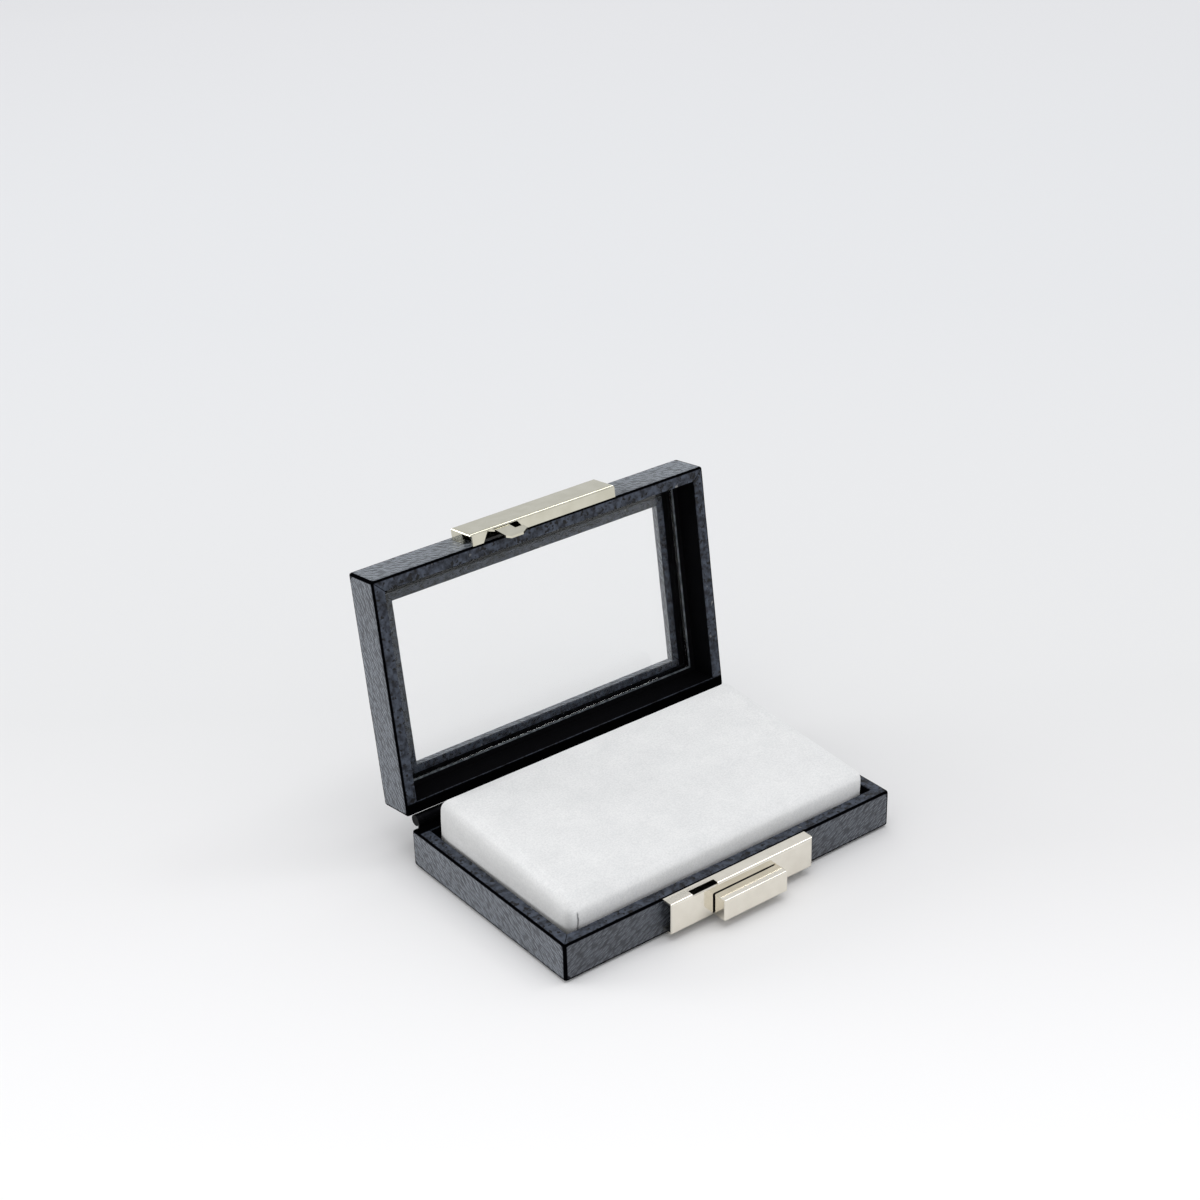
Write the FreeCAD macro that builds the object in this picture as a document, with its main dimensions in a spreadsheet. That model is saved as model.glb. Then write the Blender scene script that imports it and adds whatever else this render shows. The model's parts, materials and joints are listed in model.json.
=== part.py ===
import FreeCAD, Part
import Sketcher
import math
import os
import re

# Display box for a gemstone: a wrapped card box with a window lid, a loose pad and a slide latch.
# +Z is up, +X runs along the long side, the latch is on the -Y side, the hinge on the +Y side.
# The origin is the centre of the underside. Lid pieces are drawn shut and then swung open.

Vector = FreeCAD.Vector
doc = FreeCAD.newDocument("DisplayBox")
sheet = doc.addObject("Spreadsheet::Sheet", "Sizes")

# Driving dimensions in millimetres and degrees
driving = {
    # the two shells
    "box_width": 90.0,
    "box_depth": 55.0,
    "base_height": 9.4,
    "lid_height": 9.5,
    "rim_gap": 0.1,
    "leather": 0.35,
    "wall_board": 2.2,
    "lining": 0.3,
    "floor_board": 1.7,
    "top_board": 1.1,
    "edge_round": 0.5,
    "bottom_sheet": 0.3,
    "bottom_inset": 1.5,
    "turn_under": 8.0,
    # the window and its pane
    "window_side_border": 8.6,
    "window_front_border": 8.8,
    "window_back_border": 7.2,
    "turn_in": 1.9,
    "glass_margin": 1.35,
    "glass_thick": 1.0,
    "glass_bevel": 0.15,
    "bead_clearance": 0.05,
    # the pad
    "pad_side_gap": 0.85,
    "pad_front_gap": 0.95,
    "pad_thick": 11.4,
    "pad_card": 1.2,
    "pad_cloth": 0.5,
    "pad_corner": 2.6,
    "pad_edge": 1.6,
    "pad_under_edge": 0.8,
    "pad_draw_in": 0.5,
    "pad_crown": 0.5,
    "pad_tilt": 2.3,
    "pad_hem": 9.0,
    "foam_clearance": 0.05,
    "pad_seat_gap": 0.05,
    # the hinge
    "hinge_out": 1.6,
    "hinge_up": 0.65,
    "open_angle": 97.8,
    "hinge_length": 86.0,
    "barrel_radius": 1.3,
    "pin_radius": 0.8,
    "pin_clearance": 0.05,
    "leaf_sheet": 0.4,
    "leaf_tall": 4.4,
    "leaf_relief": 0.1,
    "web_tall": 1.1,
    "knuckle_gap": 0.2,
    "nail_radius": 0.45,
    "nail_head": 0.9,
    "nail_head_tall": 0.25,
    "nail_cover": 0.25,
    "nail_pitch": 18.0,
    # the two latch plates
    "plate_width": 39.2,
    "plate_proud": 2.9,
    "plate_sheet": 0.5,
    "plate_round": 0.6,
    "base_plate_low": 1.8,
    "lid_plate_tall": 7.4,
    "back_plate_margin": 2.1,
    "rivet_radius": 0.6,
    "rivet_head": 1.2,
    "rivet_head_tall": 0.35,
    "rivet_spacing": 28.0,
    "rivet_clearance": 0.03,
    # the hook and the slot that takes it
    "slot_left": 13.8,
    "slot_width": 6.8,
    "slot_reach": 1.7,
    "hook_side_gap": 0.5,
    "hook_end_gap": 0.25,
    "hook_shank": 3.9,
    "hook_length": 5.3,
    "hook_barb_top": 2.3,
    "hook_barb_tall": 1.5,
    "hook_heel_slant": 1.05,
    "hook_tip_slant": 0.75,
    "hook_bend_up": 1.0,
    "hook_root_flare": 1.2,
    "hook_root_tall": 4.5,
    "hook_sheet": 0.5,
    "hook_lean": 0.75,
    "cutout_left_margin": 1.2,
    "cutout_right_margin": -0.2,
    "cutout_left_flare": 1.9,
    "cutout_right_flare": 2.6,
    "end_notch_tall": 3.1,
    # the sliding button and its bolt
    "travel": 2.2,
    "button_left": 8.2,
    "button_width": 17.5,
    "button_tall": 5.2,
    "button_low": 1.95,
    "button_proud": 3.25,
    "button_gap": 0.25,
    "button_round": 0.35,
    "button_slot_low": 2.35,
    "button_slot_tall": 5.05,
    "button_slot_left": 8.55,
    "button_slot_corner": 0.4,
    "neck_left": 4.2,
    "neck_width": 10.8,
    "neck_tall": 3.2,
    "neck_end_gap": 0.15,
    "bolt_sheet": 0.6,
    "bolt_gap": 0.25,
    "bolt_guide_gap": 0.2,
    "bolt_width": 13.2,
    "bolt_neck_lap": 0.2,
    "finger_tall": 1.05,
    "finger_slant": 0.45,
    "finger_hook_gap": 0.15,
    "finger_stop_gap": 0.2,
    "stud_radius": 0.7,
    "stud_head": 1.1,
    "stud_head_tall": 0.3,
    "stud_spacing": 6.4,
    "stud_buried": 1.6,
    "spring_sheet": 0.2,
    "spring_tall": 1.2,
    "spring_width": 9.0,
    "spring_foot": 1.2,
    "spring_crown": 2.4,
    "spring_clearance": 0.05,
}
knuckle_count = 9
nail_count = 5

for row, (alias, value) in enumerate(driving.items(), 1):
    sheet.set("A%d" % row, alias)
    sheet.set("B%d" % row, str(value))
    sheet.setAlias("B%d" % row, alias)
doc.recompute()
size = {alias: float(sheet.get(alias)) for alias in driving}


# Places that several pieces share, as formulas of the sheet
outer_x = "(box_width / 2)"
outer_y = "(box_depth / 2)"
board_x = "(box_width / 2 - leather)"
board_y = "(box_depth / 2 - leather)"
lining_x = "(box_width / 2 - leather - wall_board)"
lining_y = "(box_depth / 2 - leather - wall_board)"
inner_x = "(box_width / 2 - leather - wall_board - lining)"
inner_y = "(box_depth / 2 - leather - wall_board - lining)"
board_low = "(bottom_sheet + leather)"
floor_top = "(bottom_sheet + leather + floor_board)"
base_board_top = "(base_height - leather)"
lid_rim = "(base_height + rim_gap)"
lid_board_low = "(base_height + rim_gap + leather)"
lid_top = "(base_height + rim_gap + lid_height)"
panel_top = "(base_height + rim_gap + lid_height - leather)"
panel_low = "(base_height + rim_gap + lid_height - leather - top_board)"
glass_top = "(base_height + rim_gap + lid_height - 2 * leather - top_board)"
glass_low = "(base_height + rim_gap + lid_height - 2 * leather - top_board - glass_thick)"
hinge_y = "(box_depth / 2 + hinge_out)"
hinge_z = "(base_height + hinge_up)"
plate_face = "(-box_depth / 2 - plate_proud)"
sheet_back = "(-box_depth / 2 - plate_proud + plate_sheet)"
wall_face = "(-box_depth / 2)"
back_plate_face = "(-box_depth / 2 - plate_sheet)"
bolt_face = "(-box_depth / 2 - plate_proud + plate_sheet + bolt_gap)"
bolt_back = "(-box_depth / 2 - plate_proud + plate_sheet + bolt_gap + bolt_sheet)"
hook_left = "(-slot_left + hook_side_gap)"
hook_right = "(-slot_left + slot_width - hook_end_gap)"
barb_top = "(base_height - hook_barb_top)"
hook_tip = "(base_height - hook_length)"
button_x = "(-button_left)"
button_back = "(-box_depth / 2 - plate_proud - button_gap)"
neck_low = "(button_low + button_tall / 2 - neck_tall / 2)"

alias_words = re.compile(r"\b(%s)\b" % "|".join(sorted(driving, key=len, reverse=True)))


def formula(text):
    return alias_words.sub(r"Sizes.\1", text)


def bind(item, prop, text):
    item.setExpression(prop, formula(text))


def both(half):
    return ("-" + half, half)


def block(name, x, y, z):
    item = doc.addObject("Part::Box", name)
    for prop, (low, high) in (("Length", x), ("Width", y), ("Height", z)):
        bind(item, prop, "(%s) - (%s)" % (high, low))
    for axis, (low, high) in (("x", x), ("y", y), ("z", z)):
        bind(item, "Placement.Base." + axis, low)
    return item


def rod_along_y(name, x, z, y, radius):
    item = doc.addObject("Part::Cylinder", name)
    item.Placement.Rotation = FreeCAD.Rotation(Vector(1, 0, 0), -90)
    bind(item, "Radius", radius)
    bind(item, "Height", "(%s) - (%s)" % (y[1], y[0]))
    for axis, place in (("x", x), ("y", y[0]), ("z", z)):
        bind(item, "Placement.Base." + axis, place)
    return item


def rod_along_x(name, x, y, z, radius):
    item = doc.addObject("Part::Cylinder", name)
    item.Placement.Rotation = FreeCAD.Rotation(Vector(0, 1, 0), 90)
    bind(item, "Radius", radius)
    bind(item, "Height", "(%s) - (%s)" % (x[1], x[0]))
    for axis, place in (("x", x[0]), ("y", y), ("z", z)):
        bind(item, "Placement.Base." + axis, place)
    return item


def join(name, pieces):
    item = doc.addObject("Part::MultiFuse", name)
    item.Shapes = pieces
    return item


def cut(name, stock, tools):
    item = doc.addObject("Part::Cut", name)
    item.Base = stock
    item.Tool = tools[0] if len(tools) == 1 else join(name + "_tools", tools)
    return item


def group(name, pieces):
    item = doc.addObject("Part::Compound", name)
    item.Links = pieces
    return item


def round_edges(name, stock, radius, wanted):
    # wanted says from an edge's middle point and direction whether it is rounded
    doc.recompute()
    item = doc.addObject("Part::Fillet", name)
    item.Base = stock
    chosen = []
    for number, edge in enumerate(stock.Shape.Edges, 1):
        middle = edge.valueAt((edge.FirstParameter + edge.LastParameter) / 2)
        run = edge.tangentAt(edge.FirstParameter)
        if wanted(middle, run):
            chosen.append((number, size[radius], size[radius]))
    item.Edges = chosen
    return item


def outline_pad(name, plane, corners, start, length):
    # A body whose one sketch is a closed outline, each corner held by two bound distances
    body = doc.addObject("PartDesign::Body", name)
    sketch = body.newObject("Sketcher::SketchObject", name + "_outline")
    origin_plane = [item for item in body.Origin.OriginFeatures if item.Role == plane][0]
    sketch.AttachmentSupport = (origin_plane, "")
    sketch.MapMode = "FlatFace"
    bind(sketch, "AttachmentOffset.Base.z", start)
    count = len(corners)
    first_guess = []
    for number in range(count):
        turn = 2 * math.pi * number / count
        first_guess.append(Vector(10 * math.cos(turn), 10 * math.sin(turn), 0))
    for number in range(count):
        line = Part.LineSegment(first_guess[number], first_guess[(number + 1) % count])
        sketch.addGeometry(line, False)
    for number in range(count):
        sketch.addConstraint(Sketcher.Constraint("Coincident", number, 2, (number + 1) % count, 1))
    for number, corner in enumerate(corners):
        for kind, place, start_value in (
            ("DistanceX", corner[0], first_guess[number].x),
            ("DistanceY", corner[1], first_guess[number].y),
        ):
            held = Sketcher.Constraint(kind, -1, 1, number, 1, start_value)
            index = sketch.addConstraint(held)
            bind(sketch, "Constraints[%d]" % index, place)
    pad = body.newObject("PartDesign::Pad", name + "_pad")
    pad.Profile = sketch
    bind(pad, "Length", length)
    return body


pieces = {}
lid_pieces = []


def keep(label, item, on_lid=False):
    item.Label = label
    pieces[label] = item
    if on_lid:
        lid_pieces.append(item)


# Rivets of a latch plate and the holes they pass through
def rivet(name, x, z, grow):
    board_back = "(-box_depth / 2 + leather + wall_board)"
    shank_radius = "rivet_radius + " + grow
    head_radius = "rivet_head + " + grow
    upset_start = "(-box_depth / 2 + leather + wall_board - rivet_head_tall)"
    head_start = "(-box_depth / 2 - plate_sheet - rivet_head_tall)"
    return join(name, [
        rod_along_y(name + "_head", x, z, (head_start, back_plate_face), head_radius),
        rod_along_y(name + "_shank", x, z, (head_start, board_back), shank_radius),
        rod_along_y(name + "_upset", x, z, (upset_start, board_back), head_radius),
    ])


def rivet_pair(name, z, grow):
    places = ("-rivet_spacing / 2", "rivet_spacing / 2")
    return [rivet("%s_%d" % (name, n), x, z, grow) for n, x in enumerate(places, 1)]


# Nails of a hinge leaf and the holes they pass through
def nail(name, x, z, grow):
    tip = "(box_depth / 2 - leather - wall_board + nail_cover)"
    leaf_face = "(box_depth / 2 + leaf_sheet)"
    head_end = "(box_depth / 2 + leaf_sheet + nail_head_tall)"
    return join(name, [
        rod_along_y(name + "_shank", x, z, (tip, head_end), "nail_radius + " + grow),
        rod_along_y(name + "_head", x, z, (leaf_face, head_end), "nail_head + " + grow),
    ])


def nail_row(name, z, grow):
    middle = (nail_count - 1) / 2
    return [
        nail("%s_%d" % (name, n + 1), "nail_pitch * (%s)" % (n - middle), z, grow)
        for n in range(nail_count)
    ]


base_rivet_z = "((base_plate_low + base_height) / 2)"
lid_rivet_z = "(base_height + rim_gap + lid_plate_tall / 2)"
base_nail_z = "(base_height + hinge_up - barrel_radius - leaf_relief - leaf_tall / 2)"
lid_nail_z = "(base_height + hinge_up + barrel_radius + leaf_relief + leaf_tall / 2)"
base_rivet_holes = rivet_pair("base_rivet_hole", base_rivet_z, "rivet_clearance")
lid_rivet_holes = rivet_pair("lid_rivet_hole", lid_rivet_z, "rivet_clearance")
base_nail_holes = nail_row("base_nail_hole", base_nail_z, "rivet_clearance")
lid_nail_holes = nail_row("lid_nail_hole", lid_nail_z, "rivet_clearance")


# Card walls, mitred at the corners
def mitred_walls(shell, low, high, front_holes, back_holes, on_lid):
    tall = "(%s) - (%s)" % (high, low)
    left_outer, right_outer = both(board_x)
    left_inner, right_inner = both(lining_x)
    front_outer, back_outer = both(board_y)
    front_inner, back_inner = both(lining_y)
    outlines = {
        "front": [(left_outer, front_outer), (right_outer, front_outer),
                  (right_inner, front_inner), (left_inner, front_inner)],
        "right": [(right_outer, front_outer), (right_outer, back_outer),
                  (right_inner, back_inner), (right_inner, front_inner)],
        "back": [(right_outer, back_outer), (left_outer, back_outer),
                 (left_inner, back_inner), (right_inner, back_inner)],
        "left": [(left_outer, back_outer), (left_outer, front_outer),
                 (left_inner, front_inner), (left_inner, back_inner)],
    }
    holes = {"front": front_holes, "back": back_holes, "left": [], "right": []}
    for side, corners in outlines.items():
        name = "%s_wall_%s" % (shell, side)
        wall = outline_pad(name + "_stock", "XY_Plane", corners, low, tall)
        if holes[side]:
            wall = cut(name + "_drilled", wall, holes[side])
        keep(name, wall, on_lid)


mitred_walls("base", board_low, base_board_top, base_rivet_holes, base_nail_holes, False)
mitred_walls("lid", lid_board_low, panel_low, lid_rivet_holes, lid_nail_holes, True)


# Base shell
keep("base_floor_board", block("floor_board", both(lining_x), both(lining_y), (board_low, floor_top)))

base_skin_stock = round_edges(
    "base_skin_rounded",
    block("base_skin_block", both(outer_x), both(outer_y), ("bottom_sheet", "base_height")),
    "edge_round",
    lambda middle, run: True,
)
under_x = "(box_width / 2 - turn_under)"
under_y = "(box_depth / 2 - turn_under)"
base_skin = cut("base_skin", base_skin_stock, [
    block("base_board_space", both(board_x), both(board_y), (board_low, base_board_top)),
    block("base_mouth", both(inner_x), both(inner_y), (base_board_top, "base_height + 1")),
    block("base_under_opening", both(under_x), both(under_y), ("bottom_sheet - 1", board_low)),
] + base_rivet_holes + base_nail_holes)
keep("base_leatherette_cover", base_skin)

sheet_x = "(box_width / 2 - bottom_inset)"
sheet_y = "(box_depth / 2 - bottom_inset)"
keep("base_bottom_sheet", block("bottom_sheet_block", both(sheet_x), both(sheet_y), ("0", "bottom_sheet")))

base_lining = cut("base_lining_tray", block(
    "base_lining_block", both(lining_x), both(lining_y), (floor_top, base_board_top)), [
    block("base_lining_space", both(inner_x), both(inner_y), (floor_top + " + lining", "base_height")),
])
keep("base_lining", base_lining)


# Lid shell
window_x = "(box_width / 2 - window_side_border)"
reveal_x = "(box_width / 2 - window_side_border + leather)"
turn_in_x = "(box_width / 2 - window_side_border + turn_in)"


def window_span(extra):
    return (
        "(-box_depth / 2 + window_front_border - %s)" % extra,
        "(box_depth / 2 - window_back_border + %s)" % extra,
    )


lid_skin_stock = round_edges(
    "lid_skin_rounded",
    block("lid_skin_block", both(outer_x), both(outer_y), (lid_rim, lid_top)),
    "edge_round",
    lambda middle, run: True,
)
lid_skin_shell = cut("lid_skin_shell", lid_skin_stock, [
    block("lid_board_space", both(board_x), both(board_y), (lid_board_low, panel_top)),
    block("lid_mouth", both(inner_x), both(inner_y), (lid_rim + " - 1", lid_board_low)),
] + lid_rivet_holes + lid_nail_holes)
lid_reveal = block("lid_reveal", both(reveal_x), window_span("leather"), (glass_top, panel_top))
lid_turn_in = block("lid_turn_in", both(turn_in_x), window_span("turn_in"), (glass_top, panel_low))
lid_skin = cut("lid_skin", join("lid_skin_whole", [lid_skin_shell, lid_reveal, lid_turn_in]), [
    block("lid_window_space", both(window_x), window_span("0"), (glass_top + " - 1", lid_top + " + 1")),
])
keep("lid_leatherette_cover", lid_skin, True)

lid_panel = cut("lid_panel", block(
    "lid_panel_block", both(board_x), both(board_y), (panel_low, panel_top)), [
    block("lid_panel_window", both(reveal_x), window_span("leather"), (panel_low + " - 1", lid_top)),
])
keep("lid_top_board", lid_panel, True)

lid_lining = cut("lid_lining_ring", block(
    "lid_lining_block", both(lining_x), both(lining_y), (lid_board_low, panel_low)), [
    block("lid_lining_space", both(inner_x), both(inner_y), (lid_rim, lid_top)),
])
keep("lid_lining", lid_lining, True)


# Glass pane with seamed edges, and the strips that pack it round its edge
glass_x = "(box_width / 2 - leather - wall_board - lining - glass_margin)"
glass_y = "(box_depth / 2 - leather - wall_board - lining - glass_margin)"
pane_block = block("pane_block", both(glass_x), both(glass_y), (glass_low, glass_top))
doc.recompute()
pane = doc.addObject("Part::Chamfer", "pane")
pane.Base = pane_block
pane.Edges = [(number, size["glass_bevel"], size["glass_bevel"]) for number in range(1, 13)]
keep("window_glass", pane, True)

bead_x = "(%s + bead_clearance)" % glass_x
bead_y = "(%s + bead_clearance)" % glass_y
bead_z = (glass_low, panel_low)
bead_spans = {
    "front": (both(inner_x), ("-" + inner_y, "-" + bead_y)),
    "back": (both(inner_x), (bead_y, inner_y)),
    "left": (("-" + inner_x, "-" + bead_x), both(bead_y)),
    "right": ((bead_x, inner_x), both(bead_y)),
}
for side, (x_span, y_span) in bead_spans.items():
    strip = block("bead_%s_block" % side, x_span, y_span, bead_z)
    keep("glass_bead_" + side, group("bead_" + side, [strip]), True)


# Pad: a foam block on a card, wrapped in cloth, lying loose and a little high at the back
def pad_outline(half_x, half_y, corner, draw_in, height):
    # A rounded rectangle whose four sides are long arcs that draw in between the corners
    lean_x = 2 * math.atan(draw_in / (half_y - corner))
    lean_y = 2 * math.atan(draw_in / (half_x - corner))
    centre_x = half_x - corner
    centre_y = half_y - corner

    def on_corner(sign_x, sign_y, angle):
        return Vector(
            sign_x * (centre_x + corner * math.cos(angle)),
            sign_y * (centre_y + corner * math.sin(angle)),
            height,
        )

    # where the corner arc hands over to the side arcs, and the middle of each side
    low, middle, high = -lean_x, math.pi / 4, math.pi / 2 + lean_y
    side_radius = (centre_y + corner * math.sin(low)) / math.sin(lean_x)
    end_radius = (centre_x + corner * math.cos(high)) / math.sin(lean_y)
    side_middle = centre_x + (corner + side_radius) * math.cos(low) - side_radius
    end_middle = centre_y + (corner + end_radius) * math.sin(high) - end_radius
    quarters = ((1, 1), (-1, 1), (-1, -1), (1, -1))
    edges = []
    for number, (sign_x, sign_y) in enumerate(quarters):
        next_x, next_y = quarters[(number + 1) % 4]
        first, last = (low, high) if sign_x == sign_y else (high, low)
        begin = on_corner(sign_x, sign_y, first)
        bend = on_corner(sign_x, sign_y, middle)
        end = on_corner(sign_x, sign_y, last)
        edges.append(Part.Arc(begin, bend, end).toShape())
        across = on_corner(next_x, next_y, last)
        if sign_y == next_y:
            half_way = Vector(0, sign_y * end_middle, height)
        else:
            half_way = Vector(sign_x * side_middle, 0, height)
        edges.append(Part.Arc(end, half_way, across).toShape())
    return Part.Face(Part.Wire(edges))


wall = size["leather"] + size["wall_board"] + size["lining"]
pad_half_x = size["box_width"] / 2 - wall - size["pad_side_gap"]
pad_half_y = size["box_depth"] / 2 - wall - size["pad_front_gap"]


def pad_form(inset, low, thick, edge, under_edge):
    half_x = pad_half_x - inset
    half_y = pad_half_y - inset
    corner = size["pad_corner"] - inset
    crown = size["pad_crown"]
    outline = pad_outline(half_x, half_y, corner, size["pad_draw_in"], low)
    prism = outline.extrude(Vector(0, 0, thick + crown))
    reach = math.hypot(half_x, half_y)
    dome_radius = reach * reach / (2 * crown)
    dome = Part.makeSphere(dome_radius, Vector(0, 0, low + thick + crown - dome_radius))
    form = prism.common(dome)
    form = form.makeFillet(edge, [e for e in form.Edges if e.BoundBox.ZMin > low + thick / 2])
    if under_edge > 0:
        form = form.makeFillet(under_edge, [e for e in form.Edges if e.BoundBox.ZMax < low + 0.01])
    return form


cloth = size["pad_cloth"]
gap = size["foam_clearance"]
card = size["pad_card"]
pad_thick = size["pad_thick"] - size["pad_crown"]
wrap = pad_form(0, 0, pad_thick, size["pad_edge"], size["pad_under_edge"])
hollow = pad_form(cloth, cloth, pad_thick - 2 * cloth, size["pad_edge"] - cloth, 0)
hem_x = pad_half_x - size["pad_hem"]
hem_y = pad_half_y - size["pad_hem"]
under = Part.makeBox(2 * hem_x, 2 * hem_y, 2 * cloth, Vector(-hem_x, -hem_y, -cloth))
filling = pad_form(cloth + gap, cloth, pad_thick - 2 * cloth - gap, size["pad_edge"] - cloth, 0)
card_slab = Part.makeBox(
    2 * pad_half_x, 2 * pad_half_y, card, Vector(-pad_half_x, -pad_half_y, cloth))
pad_shapes = {
    "pad_cover": wrap.cut(hollow).cut(under),
    "pad_card": filling.common(card_slab),
    "pad_foam": filling.cut(card_slab),
}
# The front edge of the pad's underside rests on the floor lining and the back stands up
floor_z = size["bottom_sheet"] + size["leather"] + size["floor_board"] + size["lining"]
tilt = math.radians(size["pad_tilt"])
under_edge = size["pad_under_edge"]
front_drop = (pad_half_y - under_edge) * math.sin(tilt)
round_drop = under_edge * (1 - math.cos(tilt))
pad_place = FreeCAD.Placement(
    Vector(0, 0, floor_z + size["pad_seat_gap"] + front_drop - round_drop),
    FreeCAD.Rotation(Vector(1, 0, 0), size["pad_tilt"]),
)
for label, shape in pad_shapes.items():
    solid = doc.addObject("Part::Feature", label + "_shape")
    solid.Shape = shape
    solid.Placement = pad_place
    keep(label, solid)


# Base latch plate: a folded tray, open at its left end, with a slot for the hook
def plate_tray(name, low, high):
    half = "(plate_width / 2)"
    stock = block(name + "_block", both(half), (plate_face, wall_face), (low, high))
    face = -size["box_depth"] / 2 - size["plate_proud"]
    return round_edges(
        name + "_rounded", stock, "plate_round",
        lambda middle, run: abs(middle.y - face) < 0.001,
    )


plate_inner = "(plate_width / 2 - plate_sheet)"
slot_x = ("(-slot_left)", "(-slot_left + slot_width)")
slot_y = (plate_face + " - 1", plate_face + " + slot_reach")
slot_z = ("(base_height - plate_sheet)", "(base_height + 1)")
button_slot_x = ("(-button_slot_left)", "(-neck_left + neck_width + neck_end_gap)")
button_slot_z = ("button_slot_low", "(button_slot_low + button_slot_tall)")
button_slot_block = block(
    "button_slot_block", button_slot_x, (plate_face + " - 1", sheet_back), button_slot_z)
button_slot = round_edges(
    "button_slot", button_slot_block, "button_slot_corner",
    lambda middle, run: abs(run.y) > 0.9 and middle.x < -size["neck_left"],
)
base_tray = cut("base_tray", plate_tray("base_plate", "base_plate_low", "base_height"), [
    block("base_plate_space", ("(-plate_width / 2 - 1)", plate_inner), (sheet_back, wall_face),
          ("(base_plate_low + plate_sheet)", "(base_height - plate_sheet)")),
    block("hook_slot", slot_x, slot_y, slot_z),
    button_slot,
])
keep("base_latch_plate", base_tray)

back_plate_x = both("(plate_width / 2 - back_plate_margin)")
base_back_plate = cut("base_back_plate_drilled", block(
    "base_back_plate", back_plate_x, (back_plate_face, wall_face),
    ("(base_plate_low + plate_sheet)", "(base_height - plate_sheet)")), base_rivet_holes)
keep("base_latch_back_plate", base_back_plate)
keep("base_latch_rivets", group("base_rivets", rivet_pair("base_rivet", base_rivet_z, "0")))


# Lid latch plate: the same tray on the lid, with a cut-out where the hook comes down
lid_plate_top = "(base_height + rim_gap + lid_plate_tall)"
cutout_left = "(-slot_left - cutout_left_margin)"
cutout_right = "(-slot_left + slot_width + cutout_right_margin)"
cutout_corners = [
    (cutout_left, sheet_back),
    (cutout_right, sheet_back),
    (cutout_right + " + cutout_right_flare", wall_face + " + 1"),
    (cutout_left + " - cutout_left_flare", wall_face + " + 1"),
]
flange_cutout = outline_pad(
    "flange_cutout", "XY_Plane", cutout_corners, lid_rim + " - 1", "1 + plate_sheet")
end_notch_top = lid_rim + " + end_notch_tall"
lid_tray = cut("lid_tray", plate_tray("lid_plate", lid_rim, lid_plate_top), [
    block("lid_plate_space", both(plate_inner), (sheet_back, wall_face),
          (lid_rim + " + plate_sheet", lid_plate_top + " - plate_sheet")),
    block("lid_end_notch", ("(-plate_width / 2 - 1)", "(-plate_width / 2 + plate_sheet)"),
          (sheet_back, wall_face), (lid_rim + " - 1", end_notch_top)),
    flange_cutout,
])
keep("lid_latch_plate", lid_tray, True)

lid_back_plate = cut("lid_back_plate_drilled", block(
    "lid_back_plate", back_plate_x, (back_plate_face, wall_face),
    (lid_rim + " + plate_sheet", lid_plate_top + " - plate_sheet")), lid_rivet_holes)
keep("lid_latch_back_plate", lid_back_plate, True)
keep("lid_latch_rivets", group("lid_rivets", rivet_pair("lid_rivet", lid_rivet_z, "0")), True)


# Hook: a tongue fixed behind the lid plate's face, leaning in as it comes down, with a barb
bend_z = "(base_height + rim_gap + hook_bend_up)"
root_z = "(base_height + rim_gap + hook_bend_up + hook_root_tall)"
hook_front = outline_pad("hook_front", "XZ_Plane", [
    (hook_left + " - hook_root_flare", root_z),
    (hook_left + " - hook_root_flare", bend_z),
    (hook_left, bend_z + " - hook_root_flare"),
    (hook_left, hook_tip + " + hook_heel_slant"),
    (hook_left + " + hook_tip_slant", hook_tip),
    (hook_left + " + hook_shank", hook_tip),
    (hook_right, hook_tip + " + hook_barb_tall"),
    (hook_right, barb_top),
    (hook_left + " + hook_shank", barb_top),
    (hook_left + " + hook_shank", bend_z),
    (hook_left + " + hook_shank + hook_root_flare", bend_z + " + hook_root_flare"),
    (hook_left + " + hook_shank + hook_root_flare", root_z),
], "0", "box_depth")
hook_side = outline_pad("hook_side", "YZ_Plane", [
    (sheet_back, root_z),
    (sheet_back, bend_z),
    (sheet_back + " + hook_lean", hook_tip),
    (sheet_back + " + hook_lean + hook_sheet", hook_tip),
    (sheet_back + " + hook_sheet", bend_z),
    (sheet_back + " + hook_sheet", root_z),
], "(-box_width / 2)", "box_width")
hook = doc.addObject("Part::MultiCommon", "hook")
hook.Shapes = [hook_front, hook_side]
keep("lid_latch_hook", hook, True)


# Button, bolt, studs and leaf spring, which slide together
button_right = "(-button_left + button_width)"
button_face = button_back + " - button_proud"
button_block = block(
    "button_block", (button_x, button_right), (button_face, button_back),
    ("button_low", "(button_low + button_tall)"))
button_face_y = -size["box_depth"] / 2 - size["plate_proud"] - size["button_gap"] - size["button_proud"]
button_rounded = round_edges(
    "button_rounded", button_block, "button_round",
    lambda middle, run: middle.y < button_face_y + size["button_proud"] * 0.75,
)
neck = block("button_neck", ("(-neck_left)", "(-neck_left + neck_width)"), (button_back, bolt_face),
             (neck_low, neck_low + " + neck_tall"))

stud_mid_x = "(-neck_left + neck_width / 2)"
stud_z = "(button_low + button_tall / 2)"
stud_start = button_back + " - stud_buried"
stud_head_end = bolt_back + " + stud_head_tall"


def stud(name, x, grow):
    return join(name, [
        rod_along_y(name + "_shank", x, stud_z, (stud_start, stud_head_end), "stud_radius + " + grow),
        rod_along_y(name + "_head", x, stud_z, (bolt_back, stud_head_end), "stud_head + " + grow),
    ])


def stud_pair(name, grow):
    places = (stud_mid_x + " - stud_spacing / 2", stud_mid_x + " + stud_spacing / 2")
    return [stud("%s_%d" % (name, n), x, grow) for n, x in enumerate(places, 1)]


stud_holes = stud_pair("stud_hole", "rivet_clearance")
keep("latch_button", cut("button", join("button_whole", [button_rounded, neck]), stud_holes))
keep("latch_button_studs", group("studs", stud_pair("stud", "0")))

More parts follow.
